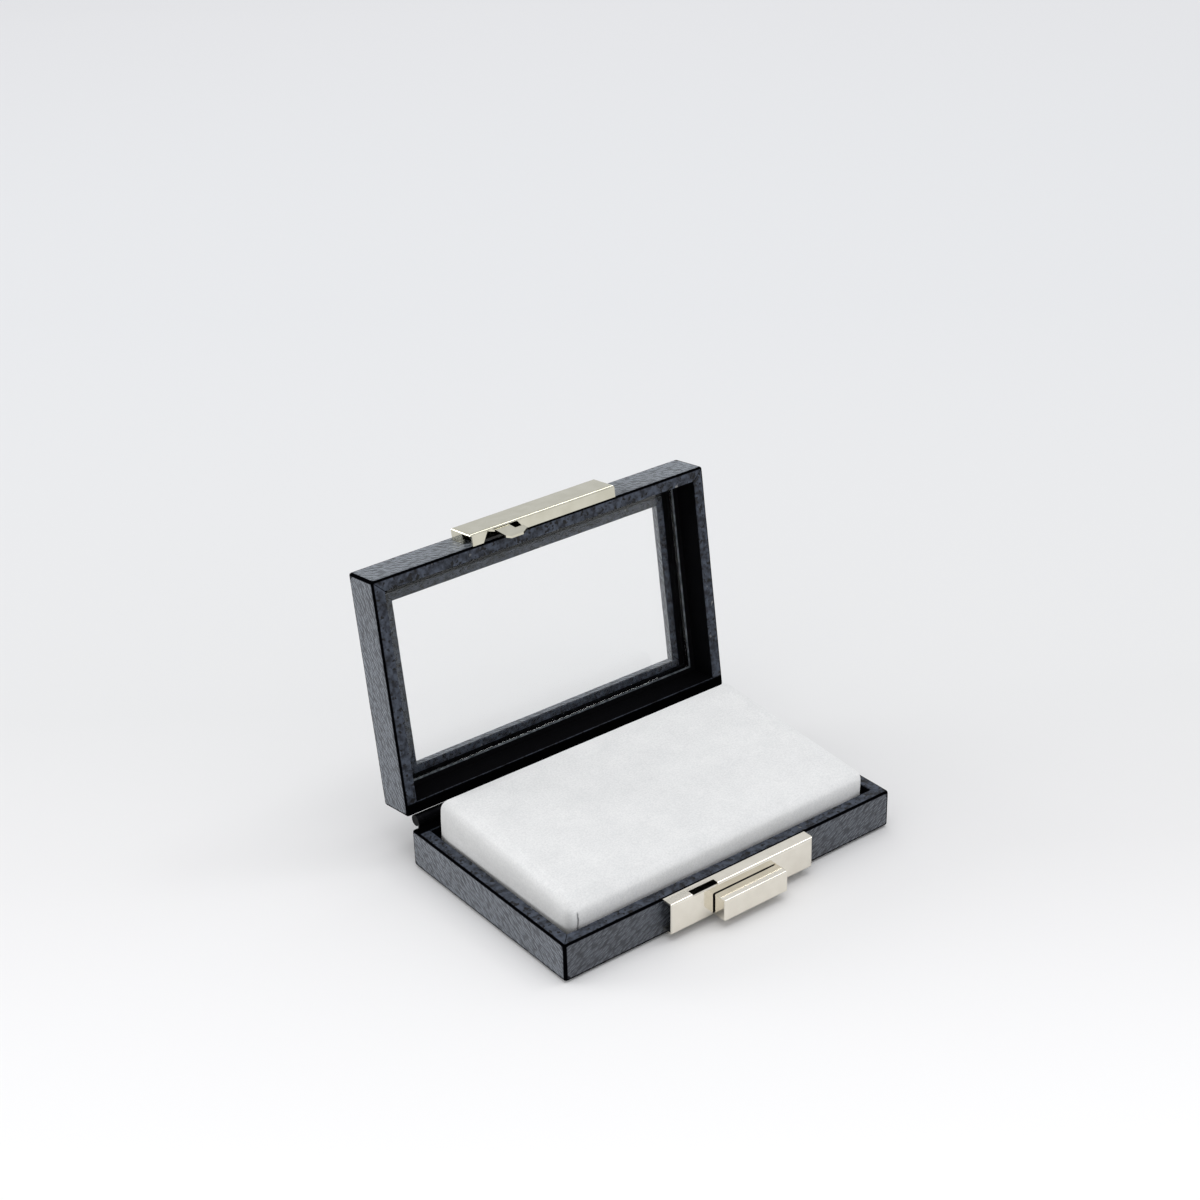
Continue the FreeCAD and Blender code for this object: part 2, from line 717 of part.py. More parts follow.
bolt_left = "(-neck_left - bolt_neck_lap)"
bolt_low = "(base_plate_low + plate_sheet + bolt_guide_gap)"
bolt_high = "(base_height - plate_sheet - bolt_guide_gap)"
finger_low = barb_top + " + finger_hook_gap"
finger_left = "(-slot_left + hook_side_gap + hook_shank + travel + finger_stop_gap)"
bolt_outline = outline_pad("bolt_outline", "XZ_Plane", [
    (bolt_left, bolt_low),
    (bolt_left + " + bolt_width", bolt_low),
    (bolt_left + " + bolt_width", bolt_high),
    (bolt_left, bolt_high),
    (bolt_left, finger_low + " + finger_tall"),
    (finger_left + " + finger_slant", finger_low + " + finger_tall"),
    (finger_left, finger_low + " + finger_tall - finger_slant"),
    (finger_left, finger_low),
    (bolt_left, finger_low),
], "-" + bolt_back, "bolt_sheet")
keep("latch_bolt", cut("bolt", bolt_outline, stud_holes))

spring_x = "(-neck_left + neck_width / 2)"
crown_y = back_plate_face + " - spring_clearance"
foot_y = bolt_back
spring_half = "spring_width / 2"
crown_half = "spring_crown / 2"
spring_outline = outline_pad("spring_outline", "XY_Plane", [
    (spring_x + " - " + spring_half, foot_y),
    (spring_x + " - " + spring_half + " + spring_foot", foot_y),
    (spring_x + " - " + crown_half, crown_y + " - spring_sheet"),
    (spring_x + " + " + crown_half, crown_y + " - spring_sheet"),
    (spring_x + " + " + spring_half + " - spring_foot", foot_y),
    (spring_x + " + " + spring_half, foot_y),
    (spring_x + " + " + spring_half, foot_y + " + spring_sheet"),
    (spring_x + " + " + spring_half + " - spring_foot", foot_y + " + spring_sheet"),
    (spring_x + " + " + crown_half, crown_y),
    (spring_x + " - " + crown_half, crown_y),
    (spring_x + " - " + spring_half + " + spring_foot", foot_y + " + spring_sheet"),
    (spring_x + " - " + spring_half, foot_y + " + spring_sheet"),
], "(button_low + button_tall / 2 + stud_head + 2 * rivet_clearance)", "spring_tall")
keep("latch_spring", spring_outline)


# Hinge: two leaves with rolled knuckles on one pin
knuckle_length = "(hinge_length / %d)" % knuckle_count
barrel_y = hinge_y
leaf_y = (outer_y, outer_y + " + leaf_sheet")
web_y = (outer_y + " + leaf_relief", outer_y + " + leaf_relief + leaf_sheet")


def hinge_leaf(name, first_knuckle, side, nail_holes):
    # side is -1 for the leaf below the pin, 1 for the leaf above it
    near = "(base_height + hinge_up + %d * (barrel_radius + leaf_relief))" % side
    far = "(base_height + hinge_up + %d * (barrel_radius + leaf_relief + leaf_tall))" % side
    root = "(base_height + hinge_up + %d * (barrel_radius + leaf_relief + web_tall))" % side
    leaf_z = (far, near) if side < 0 else (near, far)
    web_z = (root, hinge_z) if side < 0 else (hinge_z, root)
    parts = [block(name + "_plain", both("(hinge_length / 2)"), leaf_y, leaf_z)]
    for number in range(first_knuckle, knuckle_count, 2):
        start = "(-hinge_length / 2 + %d * %s)" % (number, knuckle_length)
        x_span = (start + " + knuckle_gap / 2", start + " + " + knuckle_length + " - knuckle_gap / 2")
        if number == 0:
            x_span = (start, x_span[1])
        if number == knuckle_count - 1:
            x_span = (x_span[0], start + " + " + knuckle_length)
        label = "%s_%d" % (name, number)
        parts.append(block(label + "_web", x_span, web_y, web_z))
        parts.append(rod_along_x(label + "_roll", x_span, barrel_y, hinge_z, "barrel_radius"))
    bore_x = ("(-hinge_length / 2 - 1)", "(hinge_length / 2 + 1)")
    bore = rod_along_x(name + "_bore", bore_x, barrel_y, hinge_z, "pin_radius + pin_clearance")
    return cut(name + "_bored", join(name + "_whole", parts), [bore] + nail_holes)


keep("base_hinge_leaf", hinge_leaf("base_leaf", 0, -1, base_nail_holes))
keep("lid_hinge_leaf", hinge_leaf("lid_leaf", 1, 1, lid_nail_holes), True)
keep("hinge_pin", rod_along_x("pin", both("(hinge_length / 2)"), barrel_y, hinge_z, "pin_radius"))
keep("base_hinge_nails", group("base_nails", nail_row("base_nail", base_nail_z, "0")))
keep("lid_hinge_nails", group("lid_nails", nail_row("lid_nail", lid_nail_z, "0")), True)


# Swing every lid piece open about the hinge pin
doc.recompute()
axis_point = Vector(0, size["box_depth"] / 2 + size["hinge_out"], size["base_height"] + size["hinge_up"])
swing = FreeCAD.Rotation(Vector(1, 0, 0), -size["open_angle"])
lid_open = FreeCAD.Placement(axis_point - swing.multVec(axis_point), swing)
for item in lid_pieces:
    item.Placement = lid_open
doc.recompute()

for item in doc.Objects:
    for word in ("Invalid", "Error"):
        if word in item.State:
            raise RuntimeError("%s is %s" % (item.Label, item.State))
for label, item in pieces.items():
    if item.Shape.isNull() or not item.Shape.isValid():
        raise RuntimeError("%s has no valid shape" % label)
    if not item.Shape.Solids:
        raise RuntimeError("%s has no solid" % label)

os.makedirs("parts", exist_ok=True)
for label, item in pieces.items():
    item.Shape.exportStep("parts/%s.step" % label)
    box = item.Shape.BoundBox
    print("%-24s %2d solids %9.2f mm3  x %6.2f %6.2f  y %6.2f %6.2f  z %6.2f %6.2f" % (
        label, len(item.Shape.Solids), item.Shape.Volume,
        box.XMin, box.XMax, box.YMin, box.YMax, box.ZMin, box.ZMax))
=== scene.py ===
import json
import math

import bpy
from mathutils import Matrix, Quaternion, Vector


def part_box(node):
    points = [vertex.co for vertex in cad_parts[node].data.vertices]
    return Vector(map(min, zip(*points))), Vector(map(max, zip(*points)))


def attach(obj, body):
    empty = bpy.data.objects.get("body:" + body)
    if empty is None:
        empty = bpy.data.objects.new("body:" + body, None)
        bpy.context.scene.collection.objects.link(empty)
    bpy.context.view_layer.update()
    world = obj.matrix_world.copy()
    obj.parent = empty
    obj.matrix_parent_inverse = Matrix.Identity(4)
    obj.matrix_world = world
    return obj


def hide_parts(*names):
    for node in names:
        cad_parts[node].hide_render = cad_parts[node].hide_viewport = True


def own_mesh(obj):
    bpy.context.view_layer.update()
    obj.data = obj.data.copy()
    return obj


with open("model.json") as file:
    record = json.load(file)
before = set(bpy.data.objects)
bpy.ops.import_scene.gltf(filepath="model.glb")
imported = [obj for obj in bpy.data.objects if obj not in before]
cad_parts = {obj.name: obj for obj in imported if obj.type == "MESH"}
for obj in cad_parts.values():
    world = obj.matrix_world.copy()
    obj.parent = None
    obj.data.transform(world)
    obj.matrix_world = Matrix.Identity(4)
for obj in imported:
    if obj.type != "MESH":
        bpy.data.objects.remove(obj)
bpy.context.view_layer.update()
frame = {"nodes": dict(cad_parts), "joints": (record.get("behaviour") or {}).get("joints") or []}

mm = 0.001


# Placing helpers: the lid is modelled shut and then swung open about the hinge, as in the frame
lidJoint = [joint for joint in frame["joints"] if joint["name"] == "lid_hinge"][0]
hingePoint = Vector(lidJoint["pos_m"])
openAngle = math.radians(lidJoint["range_deg"][1])
swingShut = Matrix.Translation(hingePoint) @ Matrix.Rotation(openAngle, 4, "X") @ Matrix.Translation(-hingePoint)
swingOpen = swingShut.inverted()


def shutBox(node):
    # lowest and highest corner of a lid node with the lid shut
    points = [swingShut @ corner.co for corner in frame["nodes"][node].data.vertices]
    low = Vector([min(point[axis] for point in points) for axis in range(3)])
    high = Vector([max(point[axis] for point in points) for axis in range(3)])
    return low, high


# Mesh helpers
def clearSelection():
    if bpy.context.object and bpy.context.object.mode != "OBJECT":
        bpy.ops.object.mode_set(mode="OBJECT")
    bpy.ops.object.select_all(action="DESELECT")


def pick(piece):
    clearSelection()
    piece.select_set(True)
    bpy.context.view_layer.objects.active = piece


def applyModifier(piece, kind, **settings):
    pick(piece)
    modifier = piece.modifiers.new(kind.title(), kind)
    for setting, value in settings.items():
        setattr(modifier, setting, value)
    bpy.ops.object.modifier_apply(modifier=modifier.name)


def settle(piece):
    pick(piece)
    bpy.ops.object.transform_apply(location=True, rotation=True, scale=True)


def turnOpen(piece):
    piece.matrix_world = swingOpen @ piece.matrix_world
    settle(piece)


def selectEdges(piece, wanted):
    # leaves edit mode on with the wanted edges selected
    pick(piece)
    bpy.ops.object.mode_set(mode="EDIT")
    bpy.ops.mesh.select_mode(type="EDGE")
    bpy.ops.mesh.select_all(action="DESELECT")
    bpy.ops.object.mode_set(mode="OBJECT")
    points = piece.data.vertices
    for edge in piece.data.edges:
        first, second = (points[index].co for index in edge.vertices)
        edge.select = wanted(first, second)
    bpy.ops.object.mode_set(mode="EDIT")


def finishEdit():
    bpy.ops.object.mode_set(mode="OBJECT")


def shadeSmooth(piece, degrees=35):
    pick(piece)
    bpy.ops.object.shade_smooth_by_angle(angle=math.radians(degrees))


def cloudTexture(name, size, depth=2):
    texture = bpy.data.textures.new(name, "CLOUDS")
    texture.noise_scale = size
    texture.noise_depth = depth
    return texture


# Node helpers
def newMaterial(name):
    material = bpy.data.materials.new(name)
    material.use_nodes = True
    return material, material.node_tree.nodes["Principled BSDF"]


def addNode(material, kind, **settings):
    node = material.node_tree.nodes.new(kind)
    for setting, value in settings.items():
        if setting in node.inputs:
            node.inputs[setting].default_value = value
        else:
            setattr(node, setting, value)
    return node


def link(material, source, target):
    material.node_tree.links.new(source, target)


def objectPlace(material, scale=(1, 1, 1), turn=(0, 0, 0)):
    coordinates = addNode(material, "ShaderNodeTexCoord")
    mapping = addNode(material, "ShaderNodeMapping")
    mapping.inputs["Scale"].default_value = scale
    mapping.inputs["Rotation"].default_value = [math.radians(angle) for angle in turn]
    link(material, coordinates.outputs["Object"], mapping.inputs["Vector"])
    return mapping.outputs["Vector"]


def noise(material, vector, scale, detail=3.0, roughness=0.5):
    node = addNode(material, "ShaderNodeTexNoise", Scale=scale, Detail=detail, Roughness=roughness)
    link(material, vector, node.inputs["Vector"])
    return node.outputs["Fac"]


def ramp(material, value, stops):
    node = addNode(material, "ShaderNodeValToRGB")
    elements = node.color_ramp.elements
    while len(elements) < len(stops):
        elements.new(0.5)
    for element, (position, colour) in zip(elements, stops):
        element.position = position
        element.color = (*colour, 1)
    link(material, value, node.inputs["Fac"])
    return node.outputs["Color"]


def rangeOf(material, value, fromLow, fromHigh, toLow=0.0, toHigh=1.0, smooth=False):
    node = addNode(material, "ShaderNodeMapRange")
    node.interpolation_type = "SMOOTHSTEP" if smooth else "LINEAR"
    for socket, number in zip(("From Min", "From Max", "To Min", "To Max"), (fromLow, fromHigh, toLow, toHigh)):
        node.inputs[socket].default_value = number
    link(material, value, node.inputs["Value"])
    return node.outputs["Result"]


def combine(material, operation, first, second):
    node = addNode(material, "ShaderNodeMath", operation=operation)
    for socket, value in zip(node.inputs, (first, second)):
        if isinstance(value, (int, float)):
            socket.default_value = value
        else:
            link(material, value, socket)
    return node.outputs["Value"]


def blendColours(material, share, first, second):
    node = addNode(material, "ShaderNodeMix", data_type="RGBA")
    for socket, value in ((node.inputs["Factor"], share), (node.inputs[6], first), (node.inputs[7], second)):
        if isinstance(value, (tuple, list)):
            socket.default_value = (*value, 1)
        elif isinstance(value, (int, float)):
            socket.default_value = value
        else:
            link(material, value, socket)
    return node.outputs[2]


def bump(material, height, strength, distance):
    node = addNode(material, "ShaderNodeBump", Strength=strength, Distance=distance)
    link(material, height, node.inputs["Height"])
    return node.outputs["Normal"]


# Embossed leatherette, a lizard grain of slanting oblong scales, with darker and smoother rims
leather = {
    "dark": (0.0065, 0.0085, 0.015),
    "light": (0.041, 0.05, 0.068),
    "scaleLong": 1.7 * mm,
    "scaleWide": 0.6 * mm,
    "slant": 30,
    "roughness": (0.45, 0.6),
    "shine": 1.0,
    "sheen": 0.75,
    "creaseLight": 0.6,
    "grainDepth": 0.2 * mm,
    "rimDark": (0.004, 0.006, 0.012),
    "rimLight": (0.055, 0.066, 0.09),
    "rimRoughness": (0.5, 0.7),
    "rimDepth": 0.08 * mm,
    # width of the rim strip at the hinge side that is painted as shadow
    "hingeShadeStrip": 2.6 * mm,
    "edgeLine": (0.55 * mm, 0.75 * mm),
    "rimEdgeSlack": 0.15 * mm,
    "mitreLine": 0.1 * mm,
}


def edgeShade(material):
    # a near-black line is painted along every edge of the covers
    edge = addNode(material, "ShaderNodeAttribute", attribute_name="edge")
    return rangeOf(material, edge.outputs["Fac"], *leather["edgeLine"], 1.0, 0.0, smooth=True)


def leatherMaterial():
    material, surface = newMaterial("leatherette")
    grain = addNode(material, "ShaderNodeUVMap", uv_map="grain")
    squash = addNode(material, "ShaderNodeMapping")
    squash.inputs["Scale"].default_value = (1 / leather["scaleLong"], 1 / leather["scaleWide"], 1)
    link(material, grain.outputs["UV"], squash.inputs["Vector"])
    wobble = addNode(material, "ShaderNodeTexNoise", Scale=1.3, Detail=2.0)
    link(material, squash.outputs["Vector"], wobble.inputs["Vector"])
    shift = addNode(material, "ShaderNodeVectorMath", operation="SCALE")
    shift.inputs["Scale"].default_value = 0.5
    link(material, wobble.outputs["Color"], shift.inputs[0])
    moved = addNode(material, "ShaderNodeVectorMath", operation="ADD")
    link(material, squash.outputs["Vector"], moved.inputs[0])
    link(material, shift.outputs["Vector"], moved.inputs[1])
    scales = addNode(material, "ShaderNodeTexVoronoi", feature="SMOOTH_F1", voronoi_dimensions="2D", Scale=1.0)
    scales.inputs["Smoothness"].default_value = 0.12
    link(material, moved.outputs["Vector"], scales.inputs["Vector"])
    dome = rangeOf(material, scales.outputs["Distance"], 0.15, 0.7, 1.0, 0.0, smooth=True)
    plain = objectPlace(material)
    fine = noise(material, plain, 4200.0, 4.0)
    broad = noise(material, plain, 160.0, 3.0)
    middling = noise(material, squash.outputs["Vector"], 0.7, 4.0, 0.7)
    uneven = combine(material, "ADD", combine(material, "MULTIPLY", broad, 0.4), combine(material, "MULTIPLY", middling, 0.7))
    mixed = combine(material, "ADD", combine(material, "MULTIPLY", dome, 0.35), uneven)
    tone = ramp(material, mixed, [(0.45, leather["dark"]), (1.0, leather["light"])])
    edge = edgeShade(material)
    tone = blendColours(material, edge, tone, (0.001, 0.001, 0.0015))
    link(material, tone, surface.inputs["Base Color"])
    shine = rangeOf(material, combine(material, "ADD", fine, broad), 0.6, 1.3, *leather["roughness"])
    shine = combine(material, "ADD", shine, combine(material, "MULTIPLY", edge, 0.4))
    link(material, shine, surface.inputs["Roughness"])
    # the creases between the scales throw no light back, nor does the near-black line painted along the edges
    raised = rangeOf(material, mixed, 0.45, 0.95, leather["creaseLight"], 1.0)
    raised = combine(material, "MULTIPLY", raised, rangeOf(material, edge, 0.0, 1.0, 1.0, 0.0))
    link(material, combine(material, "MULTIPLY", raised, leather["shine"]), surface.inputs["Specular IOR Level"])
    link(material, combine(material, "MULTIPLY", raised, leather["sheen"]), surface.inputs["Sheen Weight"])
    surface.inputs["Sheen Roughness"].default_value = 0.35
    surface.inputs["Sheen Tint"].default_value = (0.85, 0.93, 1.0, 1)
    height = combine(material, "ADD", combine(material, "MULTIPLY", dome, 0.6), middling)
    height = combine(material, "ADD", height, combine(material, "MULTIPLY", fine, 0.25))
    link(material, bump(material, height, 0.8, leather["grainDepth"]), surface.inputs["Normal"])
    return material


def rimMaterial():
    # the plan map holds the place seen from above with the lid shut, so the corner folds can follow the diagonals
    material, surface = newMaterial("leatheretteRim")
    plan = addNode(material, "ShaderNodeUVMap", uv_map="plan")
    sides = addNode(material, "ShaderNodeSeparateXYZ")
    link(material, plan.outputs["UV"], sides.inputs["Vector"])
    across = combine(material, "ABSOLUTE", sides.outputs["X"], 0.0)
    along = combine(material, "ABSOLUTE", sides.outputs["Y"], 0.0)
    offset = combine(material, "SUBTRACT", across, along)
    fromFold = combine(material, "ABSOLUTE", combine(material, "SUBTRACT", offset, leather["foldOffset"]), 0.0)
    fold = rangeOf(material, fromFold, 0.3 * leather["mitreLine"], 1.6 * leather["mitreLine"], 1.0, 0.0, smooth=True)
    # the rim along the hinge side is drawn near-black: painted shadow of the lid over the hinge
    strip = rangeOf(material, sides.outputs["Y"], leather["stripFrom"] - 0.4 * mm, leather["stripFrom"], 0.0, 1.0, True)
    place = objectPlace(material)
    mottle = noise(material, place, 700.0, 4.0, 0.6)
    pits = rangeOf(material, noise(material, place, 1100.0, 2.0), 0.36, 0.44, 0.0, 1.0, smooth=True)
    worn = rangeOf(material, noise(material, place, 420.0, 2.0), 0.7, 0.76, 0.0, 1.0, smooth=True)
    tone = ramp(material, mottle, [(0.36, leather["rimDark"]), (0.62, leather["rimLight"])])
    tone = blendColours(material, worn, tone, (0.2, 0.2, 0.2))
    tone = blendColours(material, pits, (0.002, 0.002, 0.003), tone)
    # fold lines, the painted hinge shadow and the painted edge line all go near-black
    shade = combine(material, "MAXIMUM", combine(material, "MAXIMUM", fold, strip), edgeShade(material))
    tone = blendColours(material, shade, tone, (0.0008, 0.0008, 0.001))
    link(material, tone, surface.inputs["Base Color"])
    link(material, rangeOf(material, mottle, 0.3, 0.7, *leather["rimRoughness"]), surface.inputs["Roughness"])
    link(material, rangeOf(material, shade, 0.0, 1.0, 0.3, 0.0), surface.inputs["Specular IOR Level"])
    height = combine(material, "SUBTRACT", combine(material, "ADD", mottle, pits), fold)
    link(material, bump(material, height, 0.7, leather["rimDepth"]), surface.inputs["Normal"])
    return material


# White velour, a short nap with soft clouds in it and a tucked seam at the front left corner, the shadow in its fold
# painted as a dark line
velour = {
    "colour": (0.81, 0.81, 0.805),
    "shade": (0.68, 0.685, 0.685),
    "napScale": 2600.0,
    "napDepth": 0.12 * mm,
    "sheen": 0.15,
    "leftShade": 0.36,
    "seamPlace": -38.6 * mm,
    "seamTop": 13.0 * mm,
}


def velourMaterial():
    material, surface = newMaterial("velour")
    place = objectPlace(material)
    nap = noise(material, place, velour["napScale"], 5.0, 0.65)
    cloud = noise(material, place, 160.0, 4.0, 0.6)
    tone = ramp(material, combine(material, "ADD", combine(material, "MULTIPLY", cloud, 0.35), nap), [
        (0.5, velour["shade"]), (0.85, velour["colour"])])
    sides = addNode(material, "ShaderNodeSeparateXYZ")
    link(material, place, sides.inputs["Vector"])
    wander = combine(material, "MULTIPLY", combine(material, "SUBTRACT", noise(material, place, 600.0), 0.5), 0.5 * mm)
    fromSeam = combine(material, "ADD", combine(material, "SUBTRACT", sides.outputs["X"], velour["seamPlace"]), wander)
    seamGrooveAndShadow = rangeOf(material, combine(material, "ABSOLUTE", fromSeam, 0.0), 0.08 * mm, 0.3 * mm, 1.0, 0.0, smooth=True)
    low = rangeOf(material, sides.outputs["Z"], velour["seamTop"] - 1 * mm, velour["seamTop"], 1.0, 0.0, smooth=True)
    faceOn = rangeOf(material, combine(material, "ABSOLUTE", sides.outputs["Y"], 0.0), 21 * mm, 22 * mm)
    seamGrooveAndShadow = combine(material, "MULTIPLY", seamGrooveAndShadow, combine(material, "MULTIPLY", low, faceOn))
    # the seam's dark line is painted shadow in the fold
    tone = blendColours(material, combine(material, "MULTIPLY", seamGrooveAndShadow, 0.8), tone, (0.12, 0.12, 0.13))
    # faces turned to the left get a darker tone: painted shade on the pad's left side
    facing = addNode(material, "ShaderNodeSeparateXYZ")
    link(material, addNode(material, "ShaderNodeTexCoord").outputs["Normal"], facing.inputs["Vector"])
    paintedLeftShade = rangeOf(material, facing.outputs["X"], -0.95, -0.2, velour["leftShade"], 0.0)
    tone = blendColours(material, paintedLeftShade, tone, (0.2, 0.2, 0.19))
    link(material, tone, surface.inputs["Base Color"])
    height = combine(material, "SUBTRACT", combine(material, "MULTIPLY", nap, 0.5), seamGrooveAndShadow)
    link(material, bump(material, height, 0.6, velour["napDepth"]), surface.inputs["Normal"])
    surface.inputs["Roughness"].default_value = 0.95
    surface.inputs["Specular IOR Level"].default_value = 0.15
    surface.inputs["Sheen Weight"].default_value = velour["sheen"]
    surface.inputs["Sheen Roughness"].default_value = 0.5
    return material


# Metals: bright nickel for the latch, a darker copy of it for the lid's latch as painted shade, and near-black metal
# behind the latch and on the hinge as painted shade where they sit in shadow
metals = {
    "nickel": {"light": (0.85, 0.81, 0.72), "dark": (0.8, 0.76, 0.67), "rough": (0.08, 0.15), "brush": 0.000004},
    # the lid's latch nickel is darkened: painted shade
    "lidNickelShaded": {"light": (0.63, 0.61, 0.51), "dark": (0.58, 0.56, 0.46), "rough": (0.1, 0.17), "brush": 0.000004},
    # the latch's inner parts are near-black: painted shade in the latch's gaps
    "latchInnardsShade": {"light": (0.06, 0.06, 0.06), "dark": (0.03, 0.03, 0.03), "rough": (0.4, 0.6), "brush": 0.00002},
    # the hinge is near-black: painted shade under the lid
    "hingeMetalShade": {"light": (0.008, 0.008, 0.009), "dark": (0.003, 0.003, 0.004), "rough": (0.5, 0.7),
                   "brush": 0.00002},
}


def metalMaterial(name):
    look = metals[name]
    material, surface = newMaterial(name)
    place = objectPlace(material)
    lines = noise(material, objectPlace(material, scale=(0.06, 1, 1)), 9000.0, 4.0, 0.6)
    cloud = noise(material, place, 320.0, 3.0)
    link(material, ramp(material, cloud, [(0.35, look["dark"]), (0.65, look["light"])]), surface.inputs["Base Color"])
    link(material, rangeOf(material, lines, 0.3, 0.75, *look["rough"]), surface.inputs["Roughness"])
    link(material, bump(material, lines, 0.35, look["brush"]), surface.inputs["Normal"])
    surface.inputs["Metallic"].default_value = 1.0
    return material


# Papers, boards and cloths that are mostly hidden
mattes = {
    "greyBoard": {"light": (0.30, 0.28, 0.25), "dark": (0.20, 0.19, 0.17), "scale": 2600.0, "depth": 0.00008},
    "blackBoard": {"light": (0.005, 0.005, 0.006), "dark": (0.001, 0.001, 0.0015), "scale": 2600.0, "depth": 0.00006},
    "blackFlock": {"light": (0.003, 0.003, 0.004), "dark": (0.0005, 0.0005, 0.0008), "scale": 6500.0, "depth": 0.0001},
    "blackPaper": {"light": (0.030, 0.030, 0.033), "dark": (0.015, 0.015, 0.017), "scale": 3800.0, "depth": 0.00005},
    "padCard": {"light": (0.46, 0.42, 0.35), "dark": (0.36, 0.33, 0.27), "scale": 2200.0, "depth": 0.00006},
    "foam": {"light": (0.82, 0.80, 0.70), "dark": (0.52, 0.50, 0.42), "scale": 1800.0, "depth": 0.0003},
}


def matteMaterial(name):
    look = mattes[name]
    material, surface = newMaterial(name)
    place = objectPlace(material)
    fibre = noise(material, place, look["scale"], 5.0, 0.7)
    link(material, ramp(material, fibre, [(0.35, look["dark"]), (0.65, look["light"])]), surface.inputs["Base Color"])
    link(material, bump(material, fibre, 0.6, look["depth"]), surface.inputs["Normal"])
    surface.inputs["Roughness"].default_value = 0.92
    surface.inputs["Specular IOR Level"].default_value = 0.03
    return material


# Clear pane, and the grey-green line of its edge
def glassMaterial():
    # only its mirror sheen is drawn: it lets through what it does not reflect
    material, surface = newMaterial("clearGlass")
    smear = noise(material, objectPlace(material), 60.0, 3.0)
    link(material, rangeOf(material, smear, 0.4, 0.7, 0.02, 0.06), surface.inputs["Roughness"])
    sheen = addNode(material, "ShaderNodeFresnel", IOR=1.45)
    link(material, combine(material, "MULTIPLY", sheen.outputs["Fac"], 0.35), surface.inputs["Alpha"])
    surface.inputs["Base Color"].default_value = (0.95, 0.98, 0.97, 1)
    surface.inputs["Metallic"].default_value = 1.0
    return material


def paneEdgeMaterial():
    material, surface = newMaterial("paneEdge")
    streak = noise(material, objectPlace(material), 900.0, 3.0)
    link(material, ramp(material, streak, [(0.35, (0.06, 0.07, 0.08)), (0.7, (0.2, 0.22, 0.24))]),
         surface.inputs["Base Color"])
    surface.inputs["Roughness"].default_value = 0.25
    return material


def floorMaterial():
    material, surface = newMaterial("floorPaintedLight")
    place = objectPlace(material)
    parts = addNode(material, "ShaderNodeSeparateXYZ")
    link(material, place, parts.inputs["Vector"])
    # the floor is brightest nearest the camera, darkest round and just behind the box, and a little lighter far back:
    # painted light and shade
    depth = combine(material, "ADD", combine(material, "MULTIPLY", parts.outputs["Y"], 0.8),
                    combine(material, "MULTIPLY", parts.outputs["X"], 0.6))
    tone = ramp(material, rangeOf(material, depth, -0.12, 0.8), [
        (0.0, (0.92, 0.915, 0.91)), (0.076, (0.845, 0.84, 0.84)), (0.13, (0.785, 0.78, 0.78)),
        (0.2, (0.74, 0.74, 0.74)), (0.5, (0.74, 0.745, 0.755)), (0.73, (0.765, 0.77, 0.78)),
        (1.0, (0.80, 0.80, 0.81))])
    link(material, tone, surface.inputs["Base Color"])
    surface.inputs["Roughness"].default_value = 1.0
    surface.inputs["Specular IOR Level"].default_value = 0.0
    return material


skinLow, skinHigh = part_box("base_leatherette_cover")
leather["foldOffset"] = skinHigh.x - skinHigh.y
leather["stripFrom"] = skinHigh.y - leather["hingeShadeStrip"]
materials = {
    "leatherette": leatherMaterial(),
    "leatheretteRim": rimMaterial(),
    "velour": velourMaterial(),
    "clearGlass": glassMaterial(),
    "paneEdge": paneEdgeMaterial(),
}
for metalName in metals:
    materials[metalName] = metalMaterial(metalName)
for matteName in mattes:
    materials[matteName] = matteMaterial(matteName)
print("materials ready:", len(materials))


def dress(piece, materialName):
    piece.data.materials.clear()
    piece.data.materials.append(materials[materialName])


# Leatherette covers: one strip of skin run round the walls, ring by ring
coverFit = {
    "skin": 0.34 * mm,
    "edgeRound": 0.6 * mm,
    "grid": 1.5 * mm,
    "unevenness": 0.10 * mm,
}


def ringShell(name, rings):
    # each ring is (left, right, front, back, height)
    left, right, front, back, height = rings[0]
    clearSelection()
    bpy.ops.mesh.primitive_plane_add(size=1, location=((left + right) / 2, (front + back) / 2, height))
    shell = bpy.context.object
    shell.name = name
    shell.scale = (right - left, back - front, 1)
    settle(shell)
    bpy.ops.object.mode_set(mode="EDIT")
    bpy.ops.mesh.select_all(action="SELECT")
    bpy.ops.mesh.delete(type="ONLY_FACE")
    bpy.ops.mesh.select_all(action="SELECT")
    for before, after in zip(rings, rings[1:]):
        bpy.ops.mesh.extrude_region_move()
        centre = ((before[0] + before[1]) / 2, (before[2] + before[3]) / 2, before[4])
        growth = ((after[1] - after[0]) / (before[1] - before[0]), (after[3] - after[2]) / (before[3] - before[2]), 1)
        shiftX = (after[0] + after[1]) / 2 - centre[0]
        shiftY = (after[2] + after[3]) / 2 - centre[1]
        bpy.ops.transform.resize(value=growth, center_override=centre)
        bpy.ops.transform.translate(value=(shiftX, shiftY, after[4] - before[4]))
    finishEdit()
    return shell


def faceOutwards(shell):
    # the side wall's faces point away from the middle
    bpy.ops.object.mode_set(mode="EDIT")
    bpy.ops.mesh.select_all(action="SELECT")
    bpy.ops.mesh.normals_make_consistent(inside=False)
    finishEdit()
    side = max(shell.data.polygons, key=lambda face: face.center.x if abs(face.normal.x) > 0.9 else -1)
    if side.normal.x < 0:
        bpy.ops.object.mode_set(mode="EDIT")
        bpy.ops.mesh.select_all(action="SELECT")
        bpy.ops.mesh.flip_normals()
        finishEdit()


def cutAcross(shell, low, high, spacing, axis):
    # long faces are cut into short ones so that the skin can be uneven
    count = int((high - low) / spacing)
    for number in range(1, count):
        place = low + (high - low) * number / count
        bpy.ops.object.mode_set(mode="EDIT")
        bpy.ops.mesh.select_all(action="SELECT")
        bpy.ops.mesh.bisect(plane_co=[place * share for share in axis], plane_no=axis)
        finishEdit()


